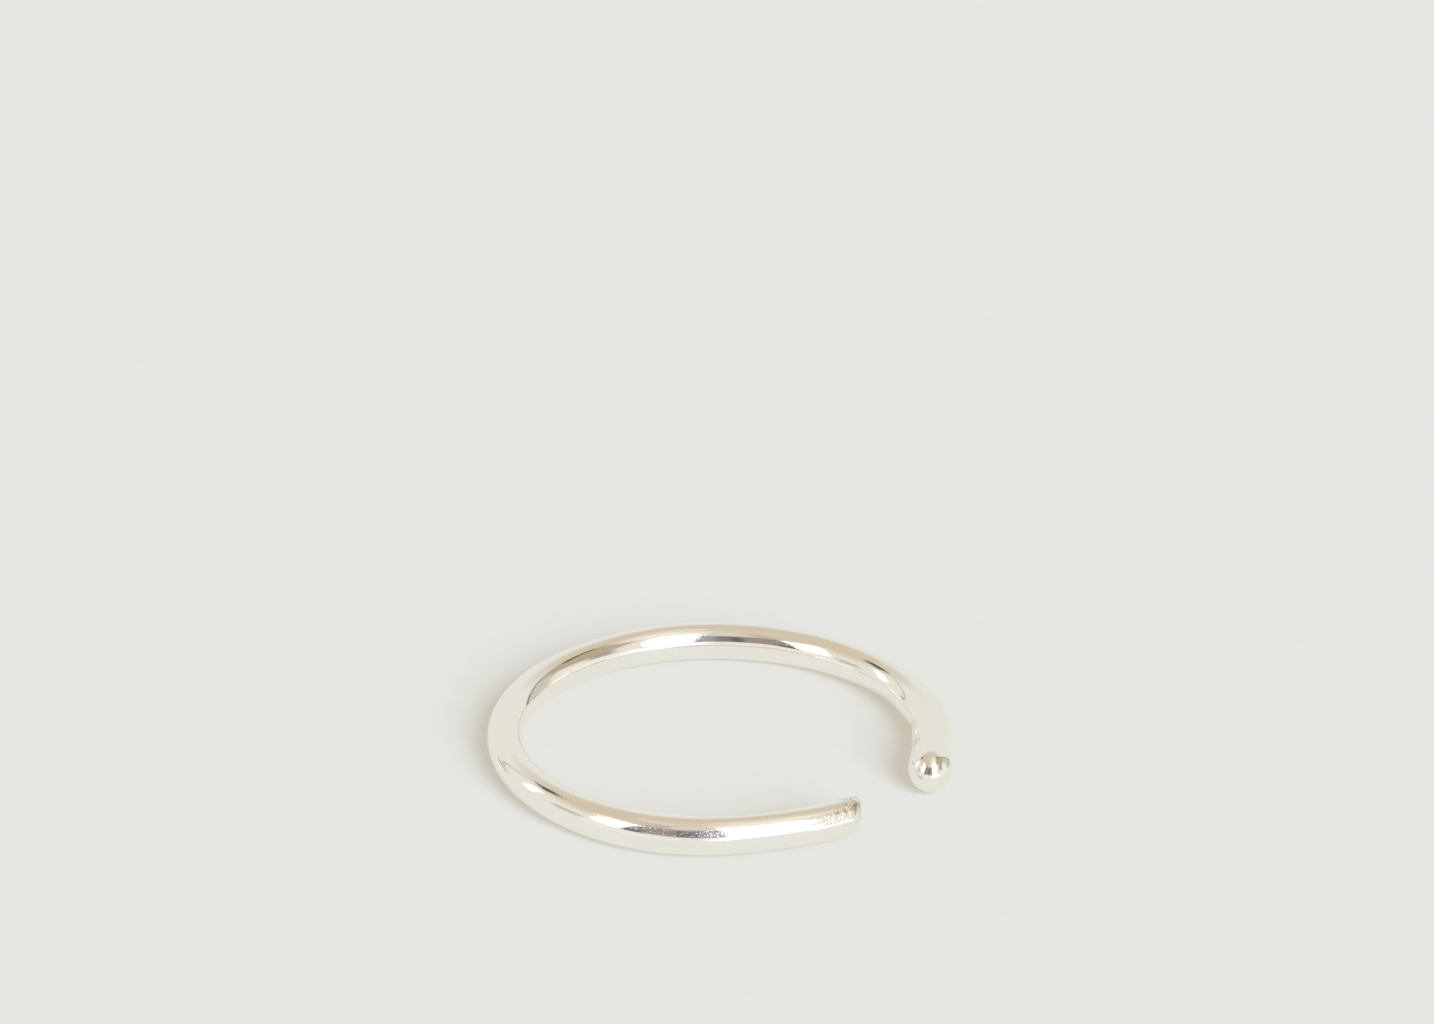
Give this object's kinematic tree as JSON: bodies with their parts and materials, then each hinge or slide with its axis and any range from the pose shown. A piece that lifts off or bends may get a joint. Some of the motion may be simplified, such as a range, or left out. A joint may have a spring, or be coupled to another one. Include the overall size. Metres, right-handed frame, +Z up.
{
  "type": "open wire ring",
  "caption": "Finger ring of round polished wire bent almost into a circle, open at the side, with a small ball at one end and a blunt rounded tip at the other.",
  "frame": {"origin": "where the axis of the ring's main circle meets the floor that the ring lies on", "axes": "+Z up, along the axis of the finger opening; +X from the middle of the ring towards the gap between its two ends; the ball end is on the +Y side of the gap and the blunt tip on the -Y side"},
  "size_m": [0.0203, 0.0206, 0.002],
  "materials": {
    "polished_silver": "polished"
  },
  "bodies": {
    "root": {"wire_ring": "polished_silver"}
  },
  "joints": []
}
